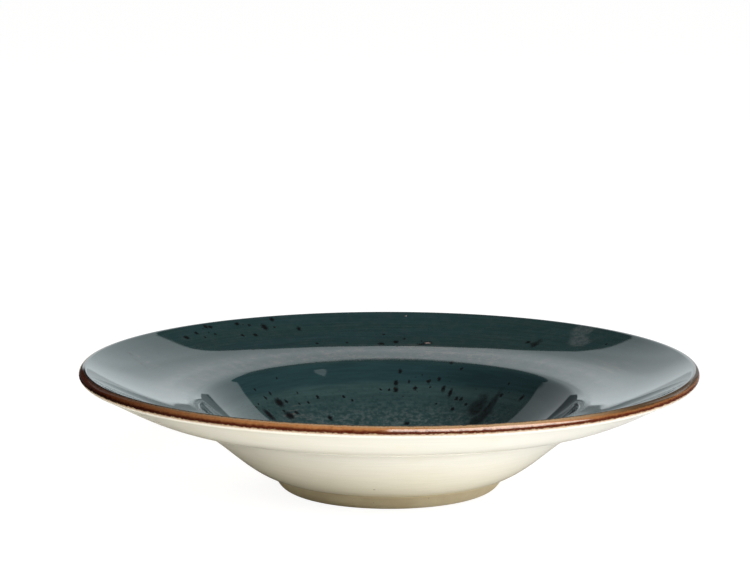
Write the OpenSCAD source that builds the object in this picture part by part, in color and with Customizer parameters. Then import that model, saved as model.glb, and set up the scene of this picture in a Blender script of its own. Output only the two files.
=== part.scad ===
// Wide-rimmed pasta bowl in glazed hotel china.
// The fired clay body carries four separate coats of glaze, and every piece is
// turned about the bowl's own axis. The origin is at the centre of the circle on
// which the bowl stands, with +Z up. All lengths are in millimetres.

/* [Rim] */
// Outside diameter of the rim, over the glaze
rim_d = 270; // [245:1:300]
// Height of the lip's top above the table, over the glaze
bowl_h = 55; // [50:0.5:64]
// Thickness of the rounded lip, over the glaze
lip_t = 5; // [4:0.1:6]
// Slope of the rim's face where it leaves the shoulder, in degrees
rim_in_deg = 15; // [11:0.5:18]
// Slope of the rim's face where it meets the lip, in degrees
rim_out_deg = 29; // [25:0.5:32]

/* [Well] */
// Diameter of the clay's shoulder, the corner between rim and well
shoulder_d = 168; // [160:1:176]
// Height of the clay's shoulder above the table
shoulder_h = 39.2; // [36:0.2:42]
// Radius that rounds the shoulder
shoulder_round = 10; // [6:0.5:13]
// Slope of the well's wall below the shoulder, in degrees
wall_deg = 45; // [41:0.5:48]
// Diameter of the flat middle of the well's floor
floor_d = 56; // [40:1:70]
// Thickness of the clay under the well's floor
floor_t = 5; // [4:0.1:6.4]

/* [Walls] */
// Thickness of the well's clay wall, three quarters of the way up
wall_t = 6.1; // [5:0.1:7]
// Thickness of the clay at the root of the rim, square to the rim's face
root_t = 6.9; // [5.9:0.1:7.8]
// Width of the ledge from the shoulder out to the crease in the rim's underside
ledge_w = 9; // [6:0.5:11]
// Radius that rounds the crease in the underside
crease_round = 6; // [3:0.5:12]

/* [Foot] */
// Outside diameter of the foot ring where it meets the wall
foot_d = 101; // [92:1:108]
// Height at which the foot ring meets the wall
foot_h = 6.9; // [5.8:0.1:8.2]
// Radius that rounds the foot ring's outside down to the table
foot_round = 7; // [4:0.5:8]
// Width of the flat land that stands on the table
land_w = 2.6; // [1.8:0.1:4]
// Depth of the recess inside the foot ring
recess_h = 3.8; // [3.2:0.1:5]

/* [Glaze] */
// Thickness of the glaze coats
glaze_t = 0.4; // [0.3:0.05:0.6]
// Thickness of a coat where it thins out at the bare foot
edge_t = 0.15; // [0.1:0.01:0.25]
// Where the blue face ends and the brown band starts, in degrees round the lip
band_top_deg = 98; // [90:1:108]
// Where the brown band ends under the lip, in degrees round the lip
band_end_deg = -14; // [-35:1:-5]

/* [Hidden] */

$fn = 180;

// Steps along each stretch of the outline
curve_steps = 22;
half_steps = 14;
round_steps = 10;
lip_deg_per_step = 7;

// Slopes of the underside, in degrees
under_out_deg = 25.6;
under_in_deg = 5;
wall_top_deg = 21;
wall_foot_deg = 17;
foot_deg = 68;
recess_deg = 60;

// How much steeper the wall is outside than inside where its thickness is measured
wall_extra_deg = 2.7;

// Radii of the foot's small roundings
foot_crease_round = 1.6;
land_round = 1.2;
recess_round = 2;

// How much higher the recess's ceiling is in its middle
recess_dome = 0.5;

// Lengths of the curves' handles, as shares of the distance between their ends
floor_handle_share = 0.28;
wall_handle_share = 0.36;
curve_handle_share = 0.33;
rim_in_handle_share = 0.25;
rim_out_handle_share = 0.56;

// Place on the well's curve where the wall's thickness is measured
wall_place_share = 0.75;

// Share of each coat's last stretch over which it thins out at the foot
thin_share = 0.5;

// Depth of the recess below the clay under the floor gives the floor's height
floor_h = recess_h + recess_dome + floor_t;

// Direction that climbs outwards at a slope, and the side of it that faces down
function climb(deg) = [cos(deg), sin(deg)];
function down_side(deg) = [sin(deg), -cos(deg)];
function up_side(deg) = [-sin(deg), cos(deg)];

// How far a rounding of a radius reaches from a corner that turns by an angle
function reach(radius, turn_deg) = radius * tan(turn_deg / 2);

// Points from one angle to another on a circle, on the side that a function gives
function arc_up(centre, radius, from_deg, to_deg, steps) =
    [for (i = [0:steps]) centre + radius * up_side(from_deg + (to_deg - from_deg) * i / steps)];
function arc_down(centre, radius, from_deg, to_deg, steps) =
    [for (i = [0:steps]) centre + radius * down_side(from_deg + (to_deg - from_deg) * i / steps)];

// The four corners that shape a curve which leaves and arrives along two directions
function curve_frame(start, leave, end, arrive, share_out, share_in) =
    let (gap = norm(end - start))
    [start, start + leave * gap * share_out, end - arrive * gap * share_in, end];

// The point of such a curve at a share of its run, and its direction there
function curve_point(c, t) =
    let (s = 1 - t)
    s * s * s * c[0] + 3 * s * s * t * c[1] + 3 * s * t * t * c[2] + t * t * t * c[3];
function curve_way(c, t) =
    let (s = 1 - t)
    s * s * (c[1] - c[0]) + 2 * s * t * (c[2] - c[1]) + t * t * (c[3] - c[2]);

function frame_line(c, steps) = [for (i = [0:steps]) curve_point(c, i / steps)];
function curve(start, leave, end, arrive, share_out, share_in, steps) =
    frame_line(curve_frame(start, leave, end, arrive, share_out, share_in), steps);

// All but the first point, for a stretch that starts where the last one ended
function rest_of(points) = [for (i = [1:len(points) - 1]) points[i]];

// The lip is a round bead of clay, as thick as the lip less its two coats
lip_clay_r = lip_t / 2 - glaze_t;
lip_centre = [rim_d / 2 - lip_t / 2, bowl_h - lip_t / 2];

// The shoulder, with the ends of its rounding on the wall and on the rim
shoulder = [shoulder_d / 2, shoulder_h];
shoulder_reach = reach(shoulder_round, wall_deg - rim_in_deg);
shoulder_low = shoulder - shoulder_reach * climb(wall_deg);
shoulder_high = shoulder + shoulder_reach * climb(rim_in_deg);

// The well's curve, from the flat middle of the floor to the shoulder's rounding
well = curve_frame([floor_d / 2, floor_h], [1, 0], shoulder_low, climb(wall_deg),
    floor_handle_share, wall_handle_share);

// The crease lies a ledge's width outside the shoulder and a rim's root below it
crease = shoulder + ledge_w * climb(rim_in_deg) + root_t * down_side(rim_in_deg);
crease_reach = reach(crease_round, wall_top_deg - under_in_deg);
crease_high = crease + crease_reach * climb(under_in_deg);
crease_low = crease - crease_reach * climb(wall_top_deg);

// The wall's outside passes one wall's thickness from the well's curve
wall_way = curve_way(well, wall_place_share);
wall_in_deg = atan2(wall_way[1], wall_way[0]);
wall_out_deg = wall_in_deg + wall_extra_deg;
wall_point = curve_point(well, wall_place_share) + wall_t * down_side(wall_in_deg);

// The corner where the wall meets the foot ring
foot_top = [foot_d / 2, foot_h];
foot_top_reach = reach(foot_crease_round, foot_deg - wall_foot_deg);
foot_top_high = foot_top + foot_top_reach * climb(wall_foot_deg);

// The land that the bowl stands on, and the recess inside it
land_out = foot_top[0] - foot_h / tan(foot_deg) - reach(foot_round, foot_deg);
land_in = land_out - land_w;
land_round_end = [land_in, land_round] + land_round * [-sin(recess_deg), -cos(recess_deg)];
recess_corner = land_round_end
    + (recess_h - land_round_end[1]) / tan(recess_deg) * [-1, 0]
    + [0, recess_h - land_round_end[1]];
ceiling_r = recess_corner[0] - reach(recess_round, recess_deg);
ceiling_centre = [ceiling_r, recess_h - recess_round];

// The lip's angles are counted round its bead, from the outermost point
lip_start_deg = rim_out_deg + 90;
lip_end_deg = under_out_deg - 90;
function lip_arc(from_deg, to_deg) =
    let (steps = max(1, round((from_deg - to_deg) / lip_deg_per_step)))
    arc_up(lip_centre, lip_clay_r, from_deg - 90, to_deg - 90, steps);

// Outline of the clay under the face glaze, from the axis to the lip's crown
face_line = concat(
    [[0, floor_h]],
    frame_line(well, curve_steps),
    rest_of(arc_up(shoulder_low + shoulder_round * down_side(wall_deg),
        shoulder_round, wall_deg, rim_in_deg, round_steps)),
    rest_of(curve(shoulder_high, climb(rim_in_deg),
        lip_centre + lip_clay_r * up_side(rim_out_deg), climb(rim_out_deg),
        rim_in_handle_share, rim_out_handle_share, curve_steps)),
    rest_of(lip_arc(lip_start_deg, band_top_deg))
);

// Outline of the clay under the brown band, round the lip
band_line = lip_arc(band_top_deg, band_end_deg);

// Outline of the clay under the underside's glaze, from the lip to the bare foot
underside_line = concat(
    lip_arc(band_end_deg, lip_end_deg),
    rest_of(curve(lip_centre + lip_clay_r * down_side(under_out_deg), -climb(under_out_deg),
        crease_high, -climb(under_in_deg), curve_handle_share, curve_handle_share, curve_steps)),
    rest_of(arc_up(crease_high + crease_round * down_side(under_in_deg),
        crease_round, under_in_deg, wall_top_deg, round_steps)),
    rest_of(curve(crease_low, -climb(wall_top_deg), wall_point, -climb(wall_out_deg),
        curve_handle_share, curve_handle_share, half_steps)),
    rest_of(curve(wall_point, -climb(wall_out_deg), foot_top_high, -climb(wall_foot_deg),
        curve_handle_share, curve_handle_share, half_steps)),
    rest_of(arc_up(foot_top_high + foot_crease_round * down_side(wall_foot_deg),
        foot_crease_round, wall_foot_deg, foot_deg, round_steps))
);

// Outline of the bare clay that stands on the table, from coat to coat
foot_line = concat(
    [underside_line[len(underside_line) - 1]],
    arc_down([land_out, foot_round], foot_round, foot_deg, 0, round_steps),
    [for (i = [0:round_steps])
        let (deg = recess_deg * i / round_steps)
        [land_in, land_round] + land_round * [-sin(deg), -cos(deg)]]
);

// Outline of the clay under the recess's glaze, from the foot ring to the axis
recess_line = concat(
    [land_round_end],
    [for (i = [0:round_steps])
        let (deg = recess_deg * (1 - i / round_steps))
        ceiling_centre + recess_round * [sin(deg), cos(deg)]],
    rest_of(curve([ceiling_r, recess_h], [-1, 0], [0, recess_h + recess_dome], [-1, 0],
        curve_handle_share, curve_handle_share, curve_steps))
);

// Unit vector from one point towards another, and the outward side of a stretch
function towards(a, b) = (b - a) / norm(b - a);
function outward(a, b) = let (d = towards(a, b)) [-d[1], d[0]];

// The outward side at point i, square to the line, and upright on the axis
function side_at(line, i) =
    let (
        last = len(line) - 1,
        before = i > 0 ? outward(line[i - 1], line[i]) : outward(line[0], line[1]),
        after = i < last ? outward(line[i], line[i + 1]) : outward(line[last - 1], line[last]),
        mean = before + after
    )
    line[i][0] == 0 ? [0, sign(mean[1])] : mean / norm(mean);

// The lip's coats meet along the bead's own radius, and so share one end face
function from_bead(point) = towards(lip_centre, point);

// The outer surface of a coat that has a thickness at each point of its line
function coat_surface(line, thick, start_side, end_side) =
    [for (i = [0:len(line) - 1])
        let (
            last = len(line) - 1,
            side = i == 0 && start_side != undef ? start_side
                : i == last && end_side != undef ? end_side
                : side_at(line, i)
        )
        line[i] + side * thick[i]];

// Even thickness, and one that thins out towards the start or the end of a line
function even(line) = [for (i = [0:len(line) - 1]) glaze_t];
function thin_to_end(line) =
    let (last = len(line) - 1, from = floor(last * (1 - thin_share * round_steps / curve_steps)))
    [for (i = [0:last]) i < from ? glaze_t
        : glaze_t + (edge_t - glaze_t) * (i - from) / (last - from)];
function reversed(list) = [for (i = [len(list) - 1:-1:0]) list[i]];

module turned(points) {
    rotate_extrude() polygon(points);
}

module coat(line, thick, start_side, end_side) {
    turned(concat(line, reversed(coat_surface(line, thick, start_side, end_side))));
}

module clay_body() {
    color("ivory") turned(concat(
        face_line,
        rest_of(band_line),
        rest_of(underside_line),
        rest_of(foot_line),
        rest_of(recess_line)
    ));
}

module face_glaze() {
    color("darkslategray") coat(face_line, even(face_line),
        undef, from_bead(face_line[len(face_line) - 1]));
}

module rim_band() {
    color("saddlebrown") coat(band_line, even(band_line),
        from_bead(band_line[0]), from_bead(band_line[len(band_line) - 1]));
}

module underside_glaze() {
    color("beige") coat(underside_line, thin_to_end(underside_line),
        from_bead(underside_line[0]), undef);
}

module recess_glaze() {
    color("beige") coat(recess_line, reversed(thin_to_end(reversed(recess_line))),
        undef, undef);
}

clay_body();
face_glaze();
rim_band();
underside_glaze();
recess_glaze();
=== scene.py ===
"""The looks of a wide-rimmed pasta bowl in glazed china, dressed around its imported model.

The clay body and its four coats of glaze are turned from one outline, in finer steps than the
model's own. Lengths are in metres, heights are above the table, and the axis of turning is Z.
"""

import math

import bmesh
import bpy
from mathutils import Matrix, Vector


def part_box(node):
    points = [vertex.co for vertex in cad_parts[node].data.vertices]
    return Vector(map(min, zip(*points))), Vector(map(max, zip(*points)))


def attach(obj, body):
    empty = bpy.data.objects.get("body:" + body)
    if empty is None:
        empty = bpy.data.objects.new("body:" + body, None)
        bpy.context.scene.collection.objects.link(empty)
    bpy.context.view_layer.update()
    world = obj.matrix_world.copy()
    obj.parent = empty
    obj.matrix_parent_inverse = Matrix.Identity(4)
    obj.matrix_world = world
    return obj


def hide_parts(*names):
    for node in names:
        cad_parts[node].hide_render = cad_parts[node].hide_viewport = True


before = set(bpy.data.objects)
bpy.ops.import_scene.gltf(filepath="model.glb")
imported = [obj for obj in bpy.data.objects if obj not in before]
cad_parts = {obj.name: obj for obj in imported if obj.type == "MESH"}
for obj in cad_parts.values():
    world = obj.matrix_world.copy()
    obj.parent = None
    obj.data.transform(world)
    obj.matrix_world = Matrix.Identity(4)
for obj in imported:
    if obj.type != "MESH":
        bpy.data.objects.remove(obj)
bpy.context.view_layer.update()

MM = 0.001

# The rim and the lip, from the model
RIM_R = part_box("rim_band")[1].x
BOWL_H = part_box("rim_band")[1].z
LIP_T = 5 * MM
RIM_IN_DEG = 15
RIM_OUT_DEG = 29

# The well and its shoulder
SHOULDER = Vector((84 * MM, 39.2 * MM))
SHOULDER_ROUND = 10 * MM
WALL_DEG = 45
FLOOR_R = 28 * MM
FLOOR_H = 9.3 * MM

# The walls
WALL_T = 6.1 * MM
WALL_PLACE_SHARE = 0.75
WALL_EXTRA_DEG = 2.7
ROOT_T = 6.9 * MM
LEDGE_W = 9 * MM
CREASE_ROUND = 6 * MM

# Slopes of the underside, from the lip down to the foot
UNDER_OUT_DEG = 25.6
UNDER_IN_DEG = 5
WALL_TOP_DEG = 21
WALL_FOOT_DEG = 17
FOOT_DEG = 68

# The foot ring and the recess inside it
FOOT_TOP = Vector((50.5 * MM, 6.9 * MM))
FOOT_CREASE_ROUND = 1.6 * MM
FOOT_ROUND = 7 * MM
LAND_W = 2.6 * MM
LAND_ROUND = 1.2 * MM
RECESS_H = 3.8 * MM
RECESS_DEG = 60
RECESS_ROUND = 2 * MM
RECESS_DOME = 0.5 * MM

# The glaze, and the places on the lip where one coat gives way to the next
GLAZE_T = 0.4 * MM
EDGE_T = 0.15 * MM
THIN_FROM_SHARE = 0.9
HOLLOW_T = 0.16 * MM
HOLLOW_R = 90 * MM
HOLLOW_HALF_W = 8 * MM
BAND_TOP_DEG = 98
BAND_END_DEG = -14

# Lengths of the curves' handles, as shares of the distance between their ends
FLOOR_HANDLE_SHARE = 0.28
WALL_HANDLE_SHARE = 0.36
CURVE_HANDLE_SHARE = 0.33
RIM_IN_HANDLE_SHARE = 0.25
RIM_OUT_HANDLE_SHARE = 0.56

# Steps along the outline and round the axis
CURVE_STEPS = 44
ROUND_STEPS = 14
LIP_DEG_PER_STEP = 5
TURN_STEPS = 360
CLAY_TURN_STEPS = 180

# Sectors that a turned piece is joined from
SECTORS = 12

# Edges sharper than this stay crisp
CRISP_DEG = 40

# The sag of the rim in the kiln, deepest at one place on the right and towards the front
SAG_DEPTH = 0.9 * MM
SAG_TURN_DEG = -46
SAG_HALF_DEG = 60
SAG_FROM_R = 88 * MM

# The finishes' colours, in linear light
TEAL_BLUE = (0.0138, 0.0348, 0.039, 1)
TEAL_GREEN = (0.0143, 0.0342, 0.034, 1)
# The well wall's tone, partly the glaze's own and partly painted shade
TEAL_WALL_SHADED = (0.0075, 0.0275, 0.034, 1)
TEAL_DEEP = (0.0095, 0.025, 0.0275, 1)
TEAL_GREY = (0.023, 0.0455, 0.047, 1)
TEAL_PALE = (0.05, 0.085, 0.085, 1)
MOTTLE = (0.125, 0.14, 0.14, 1)
FILM = (0.2, 0.15, 0.145, 1)
BURNT = (0.004, 0.0045, 0.005, 1)
RUST = (0.02, 0.011, 0.0095, 1)
TAN = (0.2, 0.14, 0.11, 1)
CHIP_PALE = (0.19, 0.155, 0.145, 1)
BAND_ORANGE = (0.4, 0.168, 0.058, 1)
BAND_RED = (0.06, 0.006, 0.0005, 1)
BAND_TAN = (0.34, 0.22, 0.12, 1)
BAND_OLIVE = (0.03, 0.024, 0.014, 1)
BAND_EDGE = (0.035, 0.02, 0.01, 1)
# The band's darkening towards its left end: partly thicker glaze, partly painted shade
BAND_DARK_AND_SHADED = (0.15, 0.07, 0.045, 1)
BAND_STAIN = (0.42, 0.2, 0.09, 1)
CREAM = (0.83, 0.81, 0.73, 1)
CREAM_YELLOW = (0.8, 0.75, 0.6, 1)
# Cream tan, also laid as painted shade just above the foot
CREAM_TAN = (0.58, 0.47, 0.28, 1)
CREAM_PINHOLE = (0.35, 0.28, 0.2, 1)
CLAY = (0.62, 0.54, 0.36, 1)
CLAY_WARM = (0.56, 0.47, 0.3, 1)
CLAY_DARK = (0.45, 0.37, 0.24, 1)
CLAY_GRAIN = (0.3, 0.24, 0.18, 1)
CLAY_RUBBED = (0.44, 0.39, 0.31, 1)

# Burnt specks in the face's glaze, in millimetres: x, y, half the reach outwards, half the width
SPECKS = (
    (-59, 110, 2.4, 1.5),
    (-86, 97, 1.3, 1.2),
    (-84, 98, 1.0, 1.1),
    (-56, 117, 1.4, 1.1),
    (-43, 114, 1.6, 1.1),
    (-63, 102, 1.2, 1.2),
    (-69, 99, 1.0, 0.8),
    (-90, 89, 1.1, 1.0),
    (-94, 82, 1.3, 1.6),
    (-86, 88, 0.7, 0.6),
    (-72, 107, 1.0, 1.3),
    (-34, 103, 0.8, 0.7),
    (-20, 106, 0.8, 0.6),
    (-4, 106, 1.4, 1.6),
    (3, 108, 1.6, 1.4),
    (7, 111, 0.8, 0.7),
    (15, 105, 0.9, 2.2),
    (65, 95, 1.2, 1.2),
    (-50, 49, 2.3, 2.2),
    (-47, 52, 1.1, 0.8),
    (-45, 44, 2.2, 2.3),
    (-42, 48, 1.0, 1.2),
    (-54, 37, 3.4, 1.7),
    (-56, 47, 1.0, 0.7),
    (-61, 48, 0.6, 0.6),
    (-60, 37, 0.9, 0.7),
    (-59, 40, 0.6, 0.6),
    (-41, 54, 0.7, 0.6),
    (-37, 57, 0.8, 0.6),
    (-33, 62, 1.0, 0.8),
    (-27, 52, 1.5, 1.2),
    (-21, 66, 0.8, 0.6),
    (-17, 65, 0.6, 0.5),
    (29, 81, 1.6, 1.0),
    (5, 80, 1.0, 0.9),
    (3, 75, 1.4, 1.1),
    (3, 72, 1.4, 1.2),
    (0, 72, 0.7, 0.6),
    (-4, 72, 0.5, 0.5),
    (12, 72, 1.1, 1.0),
    (18, 74, 1.0, 0.8),
    (23, 74, 1.0, 0.8),
    (25, 69, 1.4, 1.0),
    (28, 66, 2.1, 0.9),
    (31, 62, 1.1, 0.9),
    (33, 61, 1.0, 0.8),
    (29, 57, 1.0, 0.8),
    (35, 57, 0.8, 0.7),
    (51, 53, 1.1, 0.9),
    (60, 44, 1.6, 1.0),
    (8, 53, 1.1, 1.4),
    (18, 106, 1.7, 2.4),
    (-117, 42, 1.6, 0.8),
    (-114, 38, 1.8, 0.8),
    (-111, 35, 1.6, 0.7),
)

# How large the specks are laid, as a share of those sizes
SPECK_SCALE = 0.92

# Places with fine specks between the large ones
SPECKLED_PLACES = (
    (-75, 100, 9, 26),
    (-50, 46, 12, 16),
    (4, 108, 7, 14),
    (18, 70, 8, 18),
    (42, 50, 12, 14),
    (90, 40, 12, 20),
    (-110, 40, 10, 14),
)

# Dark smudges, pale patches, tan streaks and pale chips in the face's glaze
DARK_PATCHES = (
    (40, 53, 5, 4),
    (46, 50, 7, 2.5),
    (43, 46, 5, 3),
    (39, 44, 4, 3),
    (68, 92, 3, 2),
)
PALE_PATCHES = (
    (91, 92, 5.5, 5),
    (88, 84, 4.5, 5),
)
TAN_PATCHES = (
    (20, 97, 5, 16),
    (45, 88, 6, 14),
    (-109, 41, 9, 1.4),
    (96, 44, 9, 16),
    (-109, 33, 2.5, 0.7),
    (-106, 29, 2.0, 0.6),
    (100, 37, 2.5, 0.6),
    (102, 11, 2.2, 0.5),
    (92, 7, 2.5, 0.5),
    (-40, 44, 8, 6),
)
CHIPS = (
    (18, 106, 0.8, 1.3),
    (8, 129, 0.5, 0.4),
)

# Where the face's looks change, as distances from the axis in millimetres, or to its right.
# A mask is 0 at the first of two places and 1 at the second. With four it falls again at the last.
# The darker wall of the well is partly the glaze's own tone and partly painted shade
SHADED_WELL_WALL_SPAN = (72, 77, 82, 88)
WELL_EDGE = (76, 70)
PALE_RING_SPAN = (69.5, 72, 74, 76.5)
OUTER_RIM_EDGE = (111, 102)
MOTTLED_EDGE = (71, 54)
FILM_SPAN = (84, 90, 99, 107)
FILM_BEYOND = 0.12
# Painted shade over the right side of the well, inside these distances and to the right of these
# places
SHADED_WELL_EDGE = (88, 80)
SHADED_WELL_RIGHT = (12, 44)
SOFT_SHOULDER_SPAN = (83, 86, 87, 90)

# Where the band's looks change, in degrees round the lip, and how far its grains push that about
BAND_GRAIN_DEG = 42
BAND_FINE_DEG = 22
ORANGE_DEG = (7, 40)
TAN_DEG = (46, 66)
OLIVE_DEG = (68, 84)
BURNT_DEG = (18, 42)
PALE_END_DEG = (-5, -15)
GLOSS_RISE_DEG = (8, 24)
GLOSS_FALL_DEG = (50, 62)
GLEAM_DEG = (82, 92)

# Where they change round the bowl, in degrees from its right side, below zero at the front
GOLDEN_TURN = (-100, -70)
GOLDEN_SHIFT_DEG = 12
# The band darkens towards its left end, partly thicker glaze and partly painted shade
DARK_AND_SHADED_FRONT_TURN = (-100, -158)
DARK_AND_SHADED_BACK_TURN = (150, 178)
BURNT_TURN = (-62, -40, 20, 60)
FRONT_TURN = (-178, -170, -22, -8)
GLEAM_TURN = (-58, -44)

# Where the underside's looks change, as distances from the axis in millimetres, and for the stain
# also in degrees round the lip
YELLOW_EDGE = (88, 52)
# The tan just above the foot is painted shade
FOOT_SHADE_EDGE = (59, 50)
STAINED_EDGE = (125, 132)
STAINED_DEG = (-34, -16)

# Heights between which the foot's rubbed land fades in, in millimetres
RUBBED_H = (0.5, 0.05)

# How rough the face's glaze is, and what haze, specks and the soft shoulder add to it
FACE_ROUGHNESS = 0.035
HAZE_ROUGHNESS = 0.03
SPECK_ROUGHNESS = 0.04
SHOULDER_ROUGHNESS = 0.09

# How rough the other finishes are, the cream's with what its grain adds
BAND_ROUGHNESS = 0.3
CREAM_ROUGHNESS = 0.07
CREAM_GRAIN_ROUGHNESS = 0.06
CLAY_ROUGHNESS = 0.8
RUBBED_ROUGHNESS = 0.6

# The clear coat over the band: how strong it is as it rises and falls round the lip, in the gleam
# on its top and away from the front
COAT_ROUGHNESS = 0.09
COAT_IOR = 2.2
GLOSS_LEVELS = (0.14, 0.95)
GLOSS_TOP_LEVEL = 0.15
GLEAM_LEVEL = 0.8
GLOSS_AWAY_LEVEL = 0.85

# Share of the cells that hold a fine speck, and what is added to it near the large specks
DUST_SHARE = 0.012
DUST_NEAR_SHARE = 0.3

# The white screen that the glaze mirrors, with turns to the right from straight behind the bowl
# and heights in degrees
SCREEN_SEEN = (0.98, 1.07, 1.1, 1)
SCREEN_TURN = (-44, 46)
SCREEN_TOP_EL = (35.6, 35.0)
SCREEN_STEP_TURN = (14, 26)
SCREEN_STEP_EL = 3
SCREEN_LEFT_TURN = (-26, -10)
SCREEN_LEFT_LEVEL = 0.57
SCREEN_RIGHT_TURN = (-16, 6)
SCREEN_RIGHT_LEVEL = 0.92

# Low down it is bright only in its middle
SCREEN_FOOT_EL = (14.2, 15.8)
SCREEN_MIDDLE_TURN = (-12.8, 12.8)
SCREEN_MIDDLE_EL = (5.8, 7.2)
SCREEN_MIDDLE_LEVEL = 0.62
SCREEN_BESIDE_TURN = (10, 21)
SCREEN_BESIDE_LEVEL = 0.14
SCREEN_LOW_LEVEL = 0.1

# Its two duller places, and how it fades upwards
SCREEN_DULL_TURNS = ((0.5, 8), (-11, -5))
SCREEN_DULL_EL = (12, 18)
SCREEN_DULL_SHARE = 0.14
SCREEN_FADE_EL = (8, 34)
SCREEN_FADE_LEVELS = (1.13, 0.89)

# A small window pane, the softbox and the dark room, as the glaze mirrors them
PANE_EL = (61.8, 68.3)
PANE_TURN = (87.5, 99)
SOFTBOX_SEEN = (3.3, 3.25, 3.15, 1)
SOFTBOX_EL = (16, 64)
SOFTBOX_TURN = (100, 180)
ROOM_SEEN = (0.03, 0.03, 0.03)

# The room's own light, brightest at one turn
DIM_LEFT = (0.12, 0.115, 0.105, 1)
DIM_RIGHT = (0.4, 0.4, 0.4, 1)
BRIGHT_TURN = 130
WHITE = (1, 1, 1, 1)

# The floor: what it is to the room, to the camera and in the glaze, and where its glow changes,
# in metres across to the right or back from the axis
FLOOR_HALF_W = 6
FLOOR_WHITE = (0.8, 0.8, 0.79, 1)
FLOOR_SEEN = (0.3, 0.3, 0.3, 1)
FLOOR_MIRRORED = (0.45, 0.45, 0.44, 1)
FLOOR_GLOW_LEFT = 0.52
FLOOR_GLOW_RIGHT = 0.54
FLOOR_GLOW_WARM = (1, 0.95, 0.81, 1)
FLOOR_GLOW_COOL = (0.97, 1, 1.1, 1)
FLOOR_GLOW_SEEN = 0.91
FLOOR_GLOW_MIRRORED = 0.75
FLOOR_GLOW_SHADED = 0.1
FLOOR_SHADE_PLACE = (-0.055, -0.03, 0)
FLOOR_SHADE_EDGE = (0.03, 0.12)
FLOOR_LEVEL_EDGE = (-0.1, 0.25)
FLOOR_TINT_EDGE = (-0.12, 0.12)
FLOOR_BACK_EDGE = (0.02, 0.2)
FLOOR_SIDE_EDGE = (0.2, 0.14)
FLOOR_SIDE_SPREAD = 0.25

# The softbox's own light
KEY_WATTS = 24
KEY_COLOUR = (1.0, 0.985, 0.96)
KEY_W = 2.0
KEY_H = 0.7
KEY_TURN_DEG = 145
KEY_RISE_DEG = 44
KEY_DISTANCE = 1.3

# The photograph's frame, in pixels, and the camera that took it
FRAME_W = 750
FRAME_H = 562
AXIS_PX = Vector((389.19, 430.17))
CAMERA_DISTANCE = 1.3
CAMERA_ELEVATION_DEG = 12.0
CAMERA_ROLL_DEG = 0.11
AIM_H = 25 * MM
PX_PER_M = 2279.1
SENSOR_W = 36.0


def climb(deg):
    """The direction that climbs outwards at a slope."""
    return Vector((math.cos(math.radians(deg)), math.sin(math.radians(deg))))


def down_side(deg):
    """The side of that direction which faces down and outwards."""
    return Vector((math.sin(math.radians(deg)), -math.cos(math.radians(deg))))


def up_side(deg):
    """The side of that direction which faces up and inwards."""
    return -down_side(deg)


def inner_side(deg):
    """The side that faces down at 0 degrees and inwards at 90."""
    return Vector((-math.sin(math.radians(deg)), -math.cos(math.radians(deg))))


def outer_side(deg):
    """The side that faces up at 0 degrees and outwards at 90."""
    return -inner_side(deg)


def reach(radius, turn_deg):
    """How far a rounding reaches from a corner that turns by an angle."""
    return radius * math.tan(math.radians(turn_deg / 2))


def arc(centre, radius, side, from_deg, to_deg, steps):
    """Points on a circle, on the side that a function gives."""
    return [
        centre + radius * side(from_deg + (to_deg - from_deg) * i / steps)
        for i in range(steps + 1)
    ]


def curve_frame(start, leave, end, arrive, share_out, share_in):
    """The four corners that shape a curve which leaves and arrives along two directions."""
    gap = (end - start).length
    return start, start + leave * gap * share_out, end - arrive * gap * share_in, end


def curve_point(corners, t):
    """The point of a curve at a share of its run."""
    a, b, c, d = corners
    s = 1 - t
    return s * s * s * a + 3 * s * s * t * b + 3 * s * t * t * c + t * t * t * d


def curve_slope_deg(corners, t):
    """The slope of a curve at a share of its run."""
    a, b, c, d = corners
    s = 1 - t
    way = s * s * (b - a) + 2 * s * t * (c - b) + t * t * (d - c)
    return math.degrees(math.atan2(way.y, way.x))


def curve(start, leave, end, arrive, share_out=CURVE_HANDLE_SHARE, share_in=CURVE_HANDLE_SHARE):
    """Points along a curve."""
    corners = curve_frame(start, leave, end, arrive, share_out, share_in)
    return [curve_point(corners, i / CURVE_STEPS) for i in range(CURVE_STEPS + 1)]


def joined(*stretches):
    """One line from stretches that each start where the last one ended."""
    line = list(stretches[0])
    for stretch in stretches[1:]:
        line += stretch[1:]
    return line


# The bead of clay in the lip
LIP_CLAY_R = LIP_T / 2 - GLAZE_T
LIP_CENTRE = Vector((RIM_R - LIP_T / 2, BOWL_H - LIP_T / 2))


def lip_arc(from_deg, to_deg):
    """Points round the lip's bead, with angles counted from its outermost point."""
    steps = max(1, round((from_deg - to_deg) / LIP_DEG_PER_STEP))
    return arc(LIP_CENTRE, LIP_CLAY_R, up_side, from_deg - 90, to_deg - 90, steps)


# The corners of the outline that its stretches share
SHOULDER_REACH = reach(SHOULDER_ROUND, WALL_DEG - RIM_IN_DEG)
SHOULDER_LOW = SHOULDER - SHOULDER_REACH * climb(WALL_DEG)
SHOULDER_HIGH = SHOULDER + SHOULDER_REACH * climb(RIM_IN_DEG)
WELL = curve_frame(
    Vector((FLOOR_R, FLOOR_H)),
    climb(0),
    SHOULDER_LOW,
    climb(WALL_DEG),
    FLOOR_HANDLE_SHARE,
    WALL_HANDLE_SHARE,
)
CREASE = SHOULDER + LEDGE_W * climb(RIM_IN_DEG) + ROOT_T * down_side(RIM_IN_DEG)
WALL_IN_DEG = curve_slope_deg(WELL, WALL_PLACE_SHARE)
WALL_OUT_DEG = WALL_IN_DEG + WALL_EXTRA_DEG
WALL_POINT = curve_point(WELL, WALL_PLACE_SHARE) + WALL_T * down_side(WALL_IN_DEG)
LAND_OUT_R = FOOT_TOP.x - FOOT_TOP.y / math.tan(math.radians(FOOT_DEG)) - reach(FOOT_ROUND, FOOT_DEG)
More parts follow.
